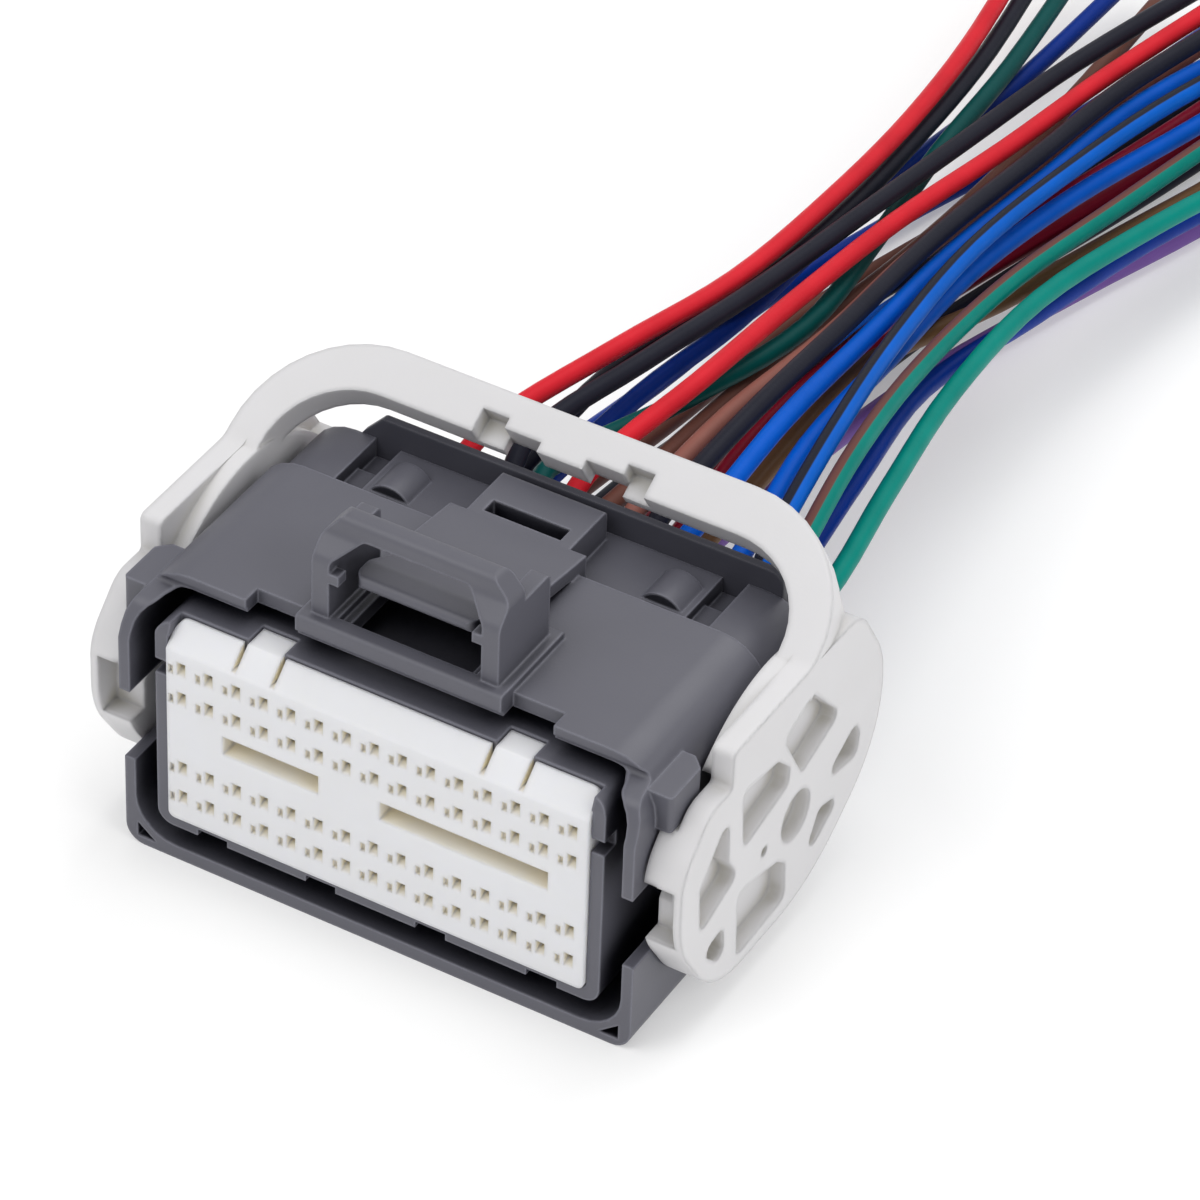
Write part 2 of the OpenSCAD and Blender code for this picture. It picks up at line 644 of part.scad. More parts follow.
module bail() {
    root = 1.5;
    on_slope(-bail_t, 0) difference() {
        polygon(bail_outline(root));
        polygon(rounded(box_corners(bail_inner, -root - past, bail_reach - bail_w, 0, 6.4), 10));
    }
}

module lever() color(lever_white) {
    both_sides() cam_plate();
    inner = bail_reach - bail_w;
    tab = [3.6, 0.75];
    notch = [2.1, 1.85];
    difference() {
        bail();
        // Recess of the grip, with the finger tab left in its middle
        on_slope(-bail_t - past, past) difference() {
            translate([-grip_half, inner - past]) square([2 * grip_half, grip_depth + past]);
            translate([-tab.x / 2, inner + grip_depth - tab.y]) square([tab.x, tab.y + past]);
        }
        // Notches at the ends of the grip, above a ledge
        on_slope(notch_ledge - bail_t, past) both_sides() translate([grip_half - eps, inner - past])
            square([notch.x, notch.y + past]);
    }
}

// Seals

function seal_corners(inset) =
    box_corners(field_half + 1.35 - inset, low_row - 1.7 + inset, top_row + 1.7 - inset, 1, 1);

module perimeter_seal() color(seal_grey) {
    seat = 0.05;
    for (band = [[0.3, 0.62], [1.1, 0.5], [1.9, 0.62]]) {
        back = moat_depth - band[0];
        along_y(back - 0.85, back) seal_ring(seat, band[1]);
    }
}

// Ring round the tower, as thick as a share of the moat
module seal_ring(seat, share) {
    grow = moat * share;
    difference() {
        polygon(rounded(box_corners(tower_out + grow, tower_low - grow,
                                    tower_top + min(grow, deck_moat * 0.8),
                                    tower_r + grow, tower_r + 0.4)));
        polygon(rounded(box_corners(tower_out + seat, tower_low - seat, tower_top + seat, tower_r, tower_r)));
    }
}

module wire_seal() color(seal_grey) {
    front = seal_start + 0.1;
    rear = housing_len - 0.7;
    difference() {
        union() {
            along_y(front, rear) polygon(rounded(seal_corners(0.3)));
            for (lip = [0.5, 1.9])
                along_y(front + lip, front + lip + 0.6) polygon(rounded(seal_corners(fit)));
        }
        along_y(front - past, rear + past) at_each_cavity() circle(d = wire_d + 2 * fit);
    }
}

module rear_cover() color(housing_grey) {
    shoulder = tier_top - 0.9;
    lip_top = tier_top + cover_rise;
    back = housing_len + cover_t;
    difference() {
        union() {
            along_y(housing_len, back) polygon(rounded([
                [-cover_half, shroud_floor + 0.5, 1.5], [cover_half, shroud_floor + 0.5, 1.5],
                [cover_half, tier_top - 3, 1.5], [cover_half - 0.9, shoulder, 0.5],
                [2.1 - cover_half, shoulder, 0.5], [-cover_half, tier_top - 3, 1.5]]));
            along_y(housing_len, housing_len + cover_lip) polygon(rounded([
                [2.3 - cover_half, shoulder - 1, 0], [cover_half - 1, shoulder - 1, 0],
                [cover_half - 1.1, lip_top, 1.2], [4.2 - cover_half, lip_top, 0.4],
                [2.5 - cover_half, tier_top, 0.5]]));
            along_y(housing_len - 0.6, housing_len + eps) polygon(rounded(seal_corners(fit)));
            // Ribs below and above each bank
            for (z = [row_z[0], row_z[2]], rib = [z - row_pitch / 2, z + row_pitch * 1.5])
                block([-field_half - 1.5, back - eps, rib - 0.3], [field_half + 1.5, back + 0.8, rib + 0.3]);
        }
        along_y(housing_len - past, back + 2) at_each_cavity() circle(d = cover_hole_d);
    }
}

// Contacts

barrel_end = seal_start - 2.2;
straight_end = housing_len + 3;
spread = max(column_pitch / 2.2, wire_d / 1.5);
nose = holder_wall + 0.2;

module terminal() {
    box_end = 9;
    barrel = 1.3;
    difference() {
        block([-terminal_box / 2, nose, -terminal_box / 2], [terminal_box / 2, box_end, terminal_box / 2]);
        block([terminal_wall - terminal_box / 2, nose - past, terminal_wall - terminal_box / 2],
              [terminal_box / 2 - terminal_wall, box_end - 1, terminal_box / 2 - terminal_wall]);
    }
    block([-0.35, box_end - eps, -terminal_box / 2], [0.35, barrel_end - 4.5, 0.1]);
    translate([0, barrel_end, 0]) rotate([90, 0, 0]) cylinder(d = wire_d + 0.1, h = 2);
    translate([0, barrel_end - 2 + eps, 0]) rotate([90, 0, 0]) cylinder(d = barrel, h = 3.5);
}

module terminals_row(row) color(contact_tin) {
    for (c = wired(row)) translate([column_x(c), 0, row_z[row]]) terminal();
}

module blanking_plugs() color(seal_grey) {
    for (row = [0:3], c = [0:columns - 1])
        if (len(search(c, wired(row))) == 0)
            translate([column_x(c), housing_len + cover_t + 0.5, row_z[row]]) rotate([90, 0, 0]) {
                cylinder(d = cover_hole_d - 2 * fit, h = cover_t + 0.4);
                cylinder(d = wire_d, h = seal_pocket + cover_t + 1.5);
            }
}

// Wires

function wired(row) = [for (w = wires) if (w[2] == row) w[1]];
function wire_name(i) = str("wire_", i < 9 ? "0" : "", i + 1);
function terminals_name(row) = str("terminals_row_", row + 1);

// Points that a wire passes through, from its terminal to its cut end
function wire_points(w) = concat(
    [for (y = [barrel_end, straight_end]) [column_x(w[1]), y, row_z[w[2]]]],
    [for (i = [0:len(stations) - 1]) [w[4][i] * spread, stations[i], w[3][i]]]);

// Direction of a wire at one of its points, for a unit step of Y
function heading(p, i) =
    i < 2 ? [0, 1, 0] :
    let (a = p[i - 1], b = p[min(i + 1, len(p) - 1)])
    (b - a) / (b.y - a.y);

// Smooth curve through the points, straight up to the second of them
function smooth(p, steps) =
    concat([p[0]], [for (i = [1:len(p) - 2], t = [0:1 / steps:1 - 0.5 / steps])
        let (run = p[i + 1].y - p[i].y, u = 1 - t)
        u * u * (1 + 2 * t) * p[i] + t * t * (3 - 2 * t) * p[i + 1]
            + run * t * u * (u * heading(p, i) - t * heading(p, i + 1))], [p[len(p) - 1]]);

// Round tube along a line of points that runs mainly towards +Y
module tube(line, d, sides) {
    n = len(line);
    rings = [for (i = [0:n - 1])
        let (run = unit(line[min(i + 1, n - 1)] - line[max(i - 1, 0)]), across = unit(cross(run, [0, 0, 1])),
             up = cross(across, run))
        each [for (s = [0:sides - 1])
            let (turn = 360 * s / sides)
            line[i] + d / 2 * (across * cos(turn) + up * sin(turn))]];
    walls = [for (i = [0:n - 2], s = [0:sides - 1])
        let (a = i * sides + s, b = i * sides + (s + 1) % sides)
        each [[a, b, b + sides], [a, b + sides, a + sides]]];
    polyhedron(rings, concat([[for (s = [sides - 1:-1:0]) s]], walls,
                             [[for (s = [0:sides - 1]) (n - 1) * sides + s]]));
}

module wire(w) color(w[0]) tube(smooth(wire_points(w), 3), wire_d, 8);

housing();
front_holder();
lever();
perimeter_seal();
wire_seal();
rear_cover();
blanking_plugs();
for (row = [0:3]) terminals_row(row);
for (i = [0:len(wires) - 1]) wire(wires[i]);
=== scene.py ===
"""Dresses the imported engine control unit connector: camera, wires, finishes, light and floor."""

import logging
import math
from dataclasses import dataclass
from enum import Enum
from typing import Any, Optional, Sequence

import bmesh
import bpy
from mathutils import Matrix, Vector


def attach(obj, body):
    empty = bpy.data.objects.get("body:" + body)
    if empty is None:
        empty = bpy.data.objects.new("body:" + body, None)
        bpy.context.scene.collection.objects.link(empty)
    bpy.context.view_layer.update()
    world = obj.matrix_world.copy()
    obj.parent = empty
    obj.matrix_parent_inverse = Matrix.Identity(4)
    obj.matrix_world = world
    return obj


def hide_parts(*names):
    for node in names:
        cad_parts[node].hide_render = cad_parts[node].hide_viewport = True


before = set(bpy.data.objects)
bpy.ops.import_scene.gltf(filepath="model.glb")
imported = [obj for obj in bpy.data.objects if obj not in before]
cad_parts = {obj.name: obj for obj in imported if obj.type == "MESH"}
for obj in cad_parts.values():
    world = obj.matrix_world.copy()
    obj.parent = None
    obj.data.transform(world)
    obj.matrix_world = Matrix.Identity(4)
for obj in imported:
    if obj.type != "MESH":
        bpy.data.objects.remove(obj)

MM = 0.001
BASE = "base"
LEVER = "lever"
log = logging.getLogger("connector")

Display = tuple[int, int, int]


def linear(tone: Display) -> tuple[float, float, float, float]:
    """Turn a display colour into the linear colour that a shader takes.

    Args:
        tone: Red, green and blue, from 0 to 255.

    Returns:
        The linear colour with an alpha of 1.
    """
    parts = [c / 255 for c in tone]
    low = [c / 12.92 if c <= 0.04045 else ((c + 0.055) / 1.055) ** 2.4 for c in parts]
    return (low[0], low[1], low[2], 1.0)


class NodeBoard:
    """Adds and joins the nodes of one shader tree."""

    def __init__(self, tree: bpy.types.NodeTree) -> None:
        """Start from an empty tree.

        Args:
            tree: The tree of a material, a world or a node group.
        """
        self.tree = tree
        tree.nodes.clear()

    def add(self, kind: str, inputs: Optional[dict[Any, Any]] = None, **settings: Any) -> bpy.types.Node:
        """Add a node, with values or sockets for its inputs.

        Args:
            kind: The node's type, such as "ShaderNodeMath".
            inputs: Input name or number to a value, or to an output socket that feeds it.
            **settings: Properties of the node.

        Returns:
            The new node.
        """
        node = self.tree.nodes.new(kind)
        for key, value in settings.items():
            setattr(node, key, value)
        for key, value in (inputs or {}).items():
            if isinstance(value, bpy.types.NodeSocket):
                self.tree.links.new(value, node.inputs[key])
            else:
                node.inputs[key].default_value = value
        return node


def new_group(name: str, inputs: dict[str, float], outputs: Sequence[str]) -> NodeBoard:
    """Make an empty shader node group with number sockets.

    Args:
        name: Name of the group.
        inputs: Input names and their first values.
        outputs: Output names.

    Returns:
        A board on the group's tree.
    """
    tree = bpy.data.node_groups.new(name, "ShaderNodeTree")
    for key, value in inputs.items():
        tree.interface.new_socket(key, in_out="INPUT", socket_type="NodeSocketFloat").default_value = value
    for key in outputs:
        tree.interface.new_socket(key, in_out="OUTPUT", socket_type="NodeSocketFloat")
    return NodeBoard(tree)


def moulded_grain_group() -> bpy.types.NodeTree:
    """Build the grain of a spark-eroded mould, with the slow mottle of moulded plastic.

    Returns:
        A group that puts out a height and a mottle mask.
    """
    board = new_group("moulded_grain", {"Grain Size": 0.0002, "Mottle Size": 0.006}, ("Height", "Mottle"))
    given = board.add("NodeGroupInput")
    place = board.add("ShaderNodeTexCoord").outputs["Object"]
    results = {}
    for key, size, detail in (("Height", "Grain Size", 2.0), ("Mottle", "Mottle Size", 3.0)):
        rate = board.add("ShaderNodeMath", {0: 1.0, 1: given.outputs[size]}, operation="DIVIDE")
        scaled = board.add("ShaderNodeVectorMath", {0: place, "Scale": rate.outputs[0]}, operation="SCALE")
        noise = board.add("ShaderNodeTexNoise", {"Vector": scaled.outputs[0], "Scale": 1.0, "Detail": detail})
        results[key] = noise.outputs["Fac"]
    board.add("NodeGroupOutput", results)
    return board.tree


def soft_edge_and_highlight_group() -> bpy.types.NodeTree:
    """Build the small rounding that every moulded edge has, and the mask of a painted highlight along it.

    Returns:
        A group that puts out the rounded normal and the mask of the edges' painted highlight.
    """
    board = new_group("soft_edge_and_painted_highlight", {"Radius": 0.0003}, ("Edge",))
    board.tree.interface.new_socket("Normal", in_out="OUTPUT", socket_type="NodeSocketVector")
    flat_turn, edge_turn = 0.97, 0.75
    given = board.add("NodeGroupInput")
    bevel = board.add("ShaderNodeBevel", {"Radius": given.outputs["Radius"]}, samples=4)
    flat = board.add("ShaderNodeNewGeometry")
    turn = board.add("ShaderNodeVectorMath", {0: bevel.outputs[0], 1: flat.outputs["Normal"]},
                     operation="DOT_PRODUCT")
    # The mask marks where the rounded normal turns away from the flat one; a lighter tone, a painted
    # highlight, is mixed in there.
    edge = board.add("ShaderNodeMapRange", {"Value": turn.outputs["Value"], "From Min": flat_turn,
                                            "From Max": edge_turn})
    board.add("NodeGroupOutput", {"Edge": edge.outputs[0], "Normal": bevel.outputs[0]})
    return board.tree


def painted_recess_shading_group() -> bpy.types.NodeTree:
    """Build the mask for painted shading in the pockets, slots and inner corners of a moulding, found by
    ambient occlusion.

    Returns:
        A group that puts out the mask of the painted shading.
    """
    board = new_group("recess", {"Reach": 0.0015, "Open": 0.85, "Shut": 0.4}, ("Recess",))
    given = board.add("NodeGroupInput")
    # Where little is open around a point, the mask calls for the painted shading tone: painted shade on most
    # mouldings, painted light on the holder.
    open_share = board.add("ShaderNodeAmbientOcclusion", {"Distance": given.outputs["Reach"]}, samples=4,
                           only_local=True)
    mask = board.add("ShaderNodeMapRange", {"Value": open_share.outputs["AO"],
                                            "From Min": given.outputs["Open"],
                                            "From Max": given.outputs["Shut"]})
    board.add("NodeGroupOutput", {"Recess": mask.outputs[0]})
    return board.tree


def wire_stripe_group() -> bpy.types.NodeTree:
    """Build the tracer stripe that runs along a wire's own UV map.

    Returns:
        A group that puts out the stripe's mask.
    """
    board = new_group("wire_stripe", {"Place": 0.25, "Width": 0.2, "Turns": 0.3}, ("Stripe",))
    blur = 0.02
    given = board.add("NodeGroupInput")
    around = board.add("ShaderNodeSeparateXYZ", {0: board.add("ShaderNodeUVMap", uv_map="route").outputs[0]})
    drift = board.add("ShaderNodeMath", {0: around.outputs[1], 1: given.outputs["Turns"],
                                         2: around.outputs[0]}, operation="MULTIPLY_ADD")
    off = board.add("ShaderNodeMath", {0: drift.outputs[0], 1: given.outputs["Place"]}, operation="SUBTRACT")
    wrap = board.add("ShaderNodeMath", {0: off.outputs[0], 1: 0.5, 2: -0.5}, operation="WRAP")
    far = board.add("ShaderNodeMath", {0: wrap.outputs[0]}, operation="ABSOLUTE")
    half = board.add("ShaderNodeMath", {0: given.outputs["Width"], 1: 0.5}, operation="MULTIPLY")
    edge = board.add("ShaderNodeMath", {0: half.outputs[0], 1: blur}, operation="ADD")
    mask = board.add("ShaderNodeMapRange", {"Value": far.outputs[0], "From Min": half.outputs[0],
                                            "From Max": edge.outputs[0], "To Min": 1.0, "To Max": 0.0})
    board.add("NodeGroupOutput", {"Stripe": mask.outputs[0]})
    return board.tree


@dataclass(frozen=True)
class Groups:
    """The node groups that the finishes share."""

    grain: bpy.types.NodeTree
    # The edge group gives the rounded normal and the mask of the painted highlight along edges.
    edge: bpy.types.NodeTree
    recess: bpy.types.NodeTree
    stripe: bpy.types.NodeTree


@dataclass(frozen=True)
class MouldedFinish:
    """A moulded plastic or rubber surface, with a painted highlight on its edges and painted shading in its
    pockets.
    """

    name: str
    tone: Display
    mottle_tone: Display
    # Painted highlight: a lighter tone mixed in along the rounded edges.
    painted_highlight_tone: Display
    # Painted shading: a tone mixed into pockets and inner corners, darker as painted shade, lighter and
    # warmer on the holder as painted light.
    painted_recess_shading_tone: Display
    roughness: float
    rough_swing: float = 0.06
    grain_size: float = 0.00022
    grain_depth: float = 0.000006
    edge_radius: float = 0.0003
    gloss: float = 0.35
    subsurface: float = 0.0
    glow_reach: tuple[float, float, float] = (0.001, 0.001, 0.0009)
    # Reach, open and shut of the ambient occlusion that places the painted shading.
    recess: tuple[float, float, float] = (0.0015, 0.85, 0.4)

    def material(self, groups: Groups) -> bpy.types.Material:
        """Build the finish's material.

        Args:
            groups: The shared node groups.

        Returns:
            The new material.
        """
        made = bpy.data.materials.new(self.name)
        made.use_nodes = True
        board = NodeBoard(made.node_tree)
        grain = board.add("ShaderNodeGroup", {}, node_tree=groups.grain)
        grain.inputs["Grain Size"].default_value = self.grain_size
        body = mix_tones(board, grain.outputs["Mottle"], self.tone, self.mottle_tone)
        soft = board.add("ShaderNodeGroup", {}, node_tree=groups.edge)
        soft.inputs["Radius"].default_value = self.edge_radius
        deep = board.add("ShaderNodeGroup", {}, node_tree=groups.recess)
        for name, value in zip(("Reach", "Open", "Shut"), self.recess):
            deep.inputs[name].default_value = value
        # Painted shading: the pocket tone is mixed in where ambient occlusion finds pockets, slots and inner
        # corners.
        body = mix_sockets(board, deep.outputs["Recess"], body, linear(self.painted_recess_shading_tone))
        # Painted highlight: the lighter edge tone is mixed in along the edges.
        tone = mix_sockets(board, soft.outputs["Edge"], body, linear(self.painted_highlight_tone))
        rough = roughness_by(board, grain.outputs["Mottle"], self.roughness, self.rough_swing)
        bump = board.add("ShaderNodeBump", {"Strength": 1.0, "Distance": self.grain_depth,
                                            "Height": grain.outputs["Height"],
                                            "Normal": soft.outputs["Normal"]})
        shader = board.add("ShaderNodeBsdfPrincipled", {"Base Color": tone, "Roughness": rough,
                                                        "Specular IOR Level": self.gloss,
                                                        "Normal": bump.outputs[0]})
        if self.subsurface:
            shader.inputs["Subsurface Weight"].default_value = self.subsurface
            shader.inputs["Subsurface Radius"].default_value = self.glow_reach
            shader.inputs["Subsurface Scale"].default_value = 1.0
        board.add("ShaderNodeOutputMaterial", {"Surface": shader.outputs[0]})
        return made


def mix_sockets(board: NodeBoard, mask: bpy.types.NodeSocket, low: Any, high: Any) -> bpy.types.NodeSocket:
    """Mix two colours by a mask.

    Args:
        board: The tree's board.
        mask: Output that gives the share of the second colour.
        low: First colour, as a socket or a linear colour.
        high: Second colour, as a socket or a linear colour.

    Returns:
        The mixed colour's socket.
    """
    node = board.add("ShaderNodeMix", {0: mask}, data_type="RGBA")
    for name, value in (("A", low), ("B", high)):
        socket = next(s for s in node.inputs if s.name == name and s.type == "RGBA")
        if isinstance(value, bpy.types.NodeSocket):
            board.tree.links.new(value, socket)
        else:
            socket.default_value = value
    return next(s for s in node.outputs if s.type == "RGBA")


def mix_tones(board: NodeBoard, mask: bpy.types.NodeSocket, low: Display,
              high: Display) -> bpy.types.NodeSocket:
    """Mix two display colours by a mask, and return the socket of the mix."""
    return mix_sockets(board, mask, linear(low), linear(high))


def roughness_by(board: NodeBoard, mask: bpy.types.NodeSocket, middle: float,
                 swing: float) -> bpy.types.NodeSocket:
    """Let the roughness swing round its middle value by a mask.

    Args:
        board: The tree's board.
        mask: Output that goes from 0 to 1 over the surface.
        middle: The middle roughness.
        swing: How far it goes to each side.

    Returns:
        The roughness socket.
    """
    node = board.add("ShaderNodeMapRange", {"Value": mask, "To Min": middle - swing,
                                            "To Max": middle + swing})
    return node.outputs[0]


@dataclass(frozen=True)
class MetalFinish:
    """A plated metal surface with fine drawing marks."""

    name: str
    tone: Display
    dull_tone: Display
    roughness: float
    rough_swing: float = 0.1
    mark_size: float = 0.0001
    mark_depth: float = 0.000003
    mottle_size: float = 0.0015

    def material(self, groups: Groups) -> bpy.types.Material:
        """Build the finish's material.

        Args:
            groups: The shared node groups.

        Returns:
            The new material.
        """
        made = bpy.data.materials.new(self.name)
        made.use_nodes = True
        board = NodeBoard(made.node_tree)
        grain = board.add("ShaderNodeGroup", {}, node_tree=groups.grain)
        grain.inputs["Grain Size"].default_value = self.mark_size
        grain.inputs["Mottle Size"].default_value = self.mottle_size
        tone = mix_tones(board, grain.outputs["Mottle"], self.tone, self.dull_tone)
        rough = roughness_by(board, grain.outputs["Mottle"], self.roughness, self.rough_swing)
        bump = board.add("ShaderNodeBump", {"Strength": 1.0, "Distance": self.mark_depth,
                                            "Height": grain.outputs["Height"]})
        shader = board.add("ShaderNodeBsdfPrincipled", {"Base Color": tone, "Metallic": 1.0,
                                                        "Roughness": rough, "Normal": bump.outputs[0]})
        board.add("ShaderNodeOutputMaterial", {"Surface": shader.outputs[0]})
        return made


class Insulation(Enum):
    """Insulation of a wire: record slot, tone, and stripe tone where it has one."""

    RED = ("wire_red", (224, 38, 52), None)
    BLACK = ("wire_black", (33, 34, 46), None)
    NAVY = ("wire_navy", (6, 50, 146), None)
    BLUE = ("wire_blue", (0, 92, 204), None)
    BLUE_BLACK = ("wire_blue", (0, 98, 204), (30, 32, 44))
    GREEN = ("wire_green", (0, 138, 126), None)
    GREEN_BROWN = ("wire_green", (0, 132, 120), (104, 66, 60))
    DARK_GREEN = ("wire_dark_green", (0, 80, 78), None)
    BROWN = ("wire_brown", (112, 72, 62), None)
    PINK_BROWN = ("wire_brown", (152, 98, 88), None)
    TAN = ("wire_tan", (112, 80, 52), None)
    MAROON = ("wire_maroon", (138, 14, 42), None)
    PURPLE = ("wire_purple", (122, 88, 162), None)


@dataclass(frozen=True)
class WireFinish:
    """Smooth extruded insulation, with or without a tracer stripe."""

    name: str
    tone: Display
    stripe: Optional[Display] = None
    stripe_place: float = 0.34
    stripe_width: float = 0.2
    stripe_turns: float = 0.03
    roughness: float = 0.42
    rough_swing: float = 0.08
    gloss: float = 0.08
    grain_size: float = 0.0005
    grain_depth: float = 0.00001
    mottle_size: float = 0.004
    mottle_share: float = 0.86

    def material(self, groups: Groups) -> bpy.types.Material:
        """Build the insulation's material.

        Args:
            groups: The shared node groups.

        Returns:
            The new material.
        """
        made = bpy.data.materials.new(self.name)
        made.use_nodes = True
        board = NodeBoard(made.node_tree)
        grain = board.add("ShaderNodeGroup", {}, node_tree=groups.grain)
        grain.inputs["Grain Size"].default_value = self.grain_size
        grain.inputs["Mottle Size"].default_value = self.mottle_size
        deep = tuple(int(c * self.mottle_share) for c in self.tone)
        tone = mix_tones(board, grain.outputs["Mottle"], self.tone, deep)
        if self.stripe is not None:
            stripe = board.add("ShaderNodeGroup", {}, node_tree=groups.stripe)
            stripe.inputs["Place"].default_value = self.stripe_place
            stripe.inputs["Width"].default_value = self.stripe_width
            stripe.inputs["Turns"].default_value = self.stripe_turns
            tone = mix_sockets(board, stripe.outputs["Stripe"], tone, linear(self.stripe))
        rough = roughness_by(board, grain.outputs["Mottle"], self.roughness, self.rough_swing)
        bump = board.add("ShaderNodeBump", {"Strength": 1.0, "Distance": self.grain_depth,
                                            "Height": grain.outputs["Height"]})
        shader = board.add("ShaderNodeBsdfPrincipled", {"Base Color": tone, "Roughness": rough,
                                                        "Specular IOR Level": self.gloss,
                                                        "Normal": bump.outputs[0]})
        board.add("ShaderNodeOutputMaterial", {"Surface": shader.outputs[0]})
        return made


class Lay(Enum):
    """Height of a wire at each station behind the connector, in mm, by its lay in the bundle."""

    TOP = (19.5, 19, 16.5, 14, 11.5, 9.5, 7.4)
    UPPER = (19, 18.5, 15.5, 12.5, 10, 8, 5.9)
    SECOND = (18, 17, 14.5, 11.8, 9.2, 7.2, 5.5)
    SINKING = (17.5, 15.5, 12.5, 9.5, 7, 5, 3.6)
    ARCHED = (15.8, 16.5, 14.8, 12.2, 9.8, 8, 6.6)
    SIDE = (15.8, 15.5, 13.8, 11.8, 9.8, 8.2, 6.5)
    THIRD = (15.5, 15.5, 13, 10, 7.5, 5.5, 4.1)
    LOW = (9, 7.5, 4.5, 2, 1.1, 0.8, 0.8)
    FLOOR = (6.5, 5, 3, 1.4, 0.9, 0.8, 0.8)


@dataclass(frozen=True)
class Harness:
    """Sizes that all the wires share, in mm, as the source of the solids has them."""

    stations: tuple[float, ...] = (32, 45, 60, 76, 92, 108, 130)
    column_pitch: float = 2.2
    middle_column: int = 7
    row_heights: tuple[float, ...] = (6.58, 9.18, 15.38, 17.98)
    terminal_end: float = 17.8
    straight_end: float = 27.0
    wire_d: float = 1.5
    sides: int = 16
    steps: int = 5


@dataclass
class Wire:
    """One insulated wire, from its terminal to its cut end."""

    number: int
    insulation: Insulation
    column: int
    row: int
    lay: Lay
    places: tuple[float, ...]
    harness: Harness

    def anchors(self) -> list[Vector]:
        """Return the points that the wire passes through, in mm."""
        h = self.harness
        x, z = (self.column - h.middle_column) * h.column_pitch, h.row_heights[self.row]
        points = [Vector((x, y, z)) for y in (h.terminal_end, h.straight_end)]
        points += [Vector(p) for p in zip(self.places, h.stations, self.lay.value)]
        return points

    def route(self) -> list[Vector]:
        """Run a smooth curve through the anchors, straight up to the second one.

        Returns:
            The points of the wire's middle line, in metres.
        """
        p = self.anchors()
        last = len(p) - 1

        def heading(i: int) -> Vector:
            """Return the direction at an anchor, for a unit step of Y."""
            if i < 2:
                return Vector((0, 1, 0))
            span = p[min(i + 1, last)] - p[i - 1]
            return span / span.y

        line = [p[0]]
        for i in range(1, last):
            run = p[i + 1].y - p[i].y
            for k in range(self.harness.steps):
                t = k / self.harness.steps
                u = 1 - t
                line.append(u * u * (1 + 2 * t) * p[i] + t * t * (3 - 2 * t) * p[i + 1]
                            + run * t * u * (u * heading(i) - t * heading(i + 1)))
        line.append(p[last])
        return [v * MM for v in line]

    def tube(self, line: list[Vector]) -> bpy.types.Object:
        """Sweep the insulation along the middle line, with a UV map that follows it.

        Args:
            line: Points of the middle line, in metres.

        Returns:
            The new piece.
        """
        sides, radius, last = self.harness.sides, self.harness.wire_d * MM / 2, len(line) - 1
        mesh = bpy.data.meshes.new(f"insulation_{self.number:02d}")
        shape = bmesh.new()
        uv = shape.loops.layers.uv.new("route")
        rings = []
        for i, point in enumerate(line):
            run = (line[min(i + 1, last)] - line[max(i - 1, 0)]).normalized()
            across = run.cross(Vector((0, 0, 1))).normalized()
            up = across.cross(run)
            turns = [2 * math.pi * s / sides for s in range(sides)]
            spokes = [across * math.cos(a) + up * math.sin(a) for a in turns]
            rings.append([shape.verts.new(point + radius * spoke) for spoke in spokes])
        for i in range(last):
            for s in range(sides):
                n = (s + 1) % sides
                face = shape.faces.new((rings[i][s], rings[i][n], rings[i + 1][n], rings[i + 1][s]))
                face.smooth = True
                spots = ((s, i), (s + 1, i), (s + 1, i + 1), (s, i + 1))
                for loop, (a, b) in zip(face.loops, spots):
                    loop[uv].uv = (a / sides, b / last)
        shape.faces.new(list(reversed(rings[0])))
        shape.faces.new(rings[-1])
        shape.normal_update()
        shape.to_mesh(mesh)
        shape.free()
        piece = bpy.data.objects.new(mesh.name, mesh)
        bpy.context.scene.collection.objects.link(piece)
        return piece


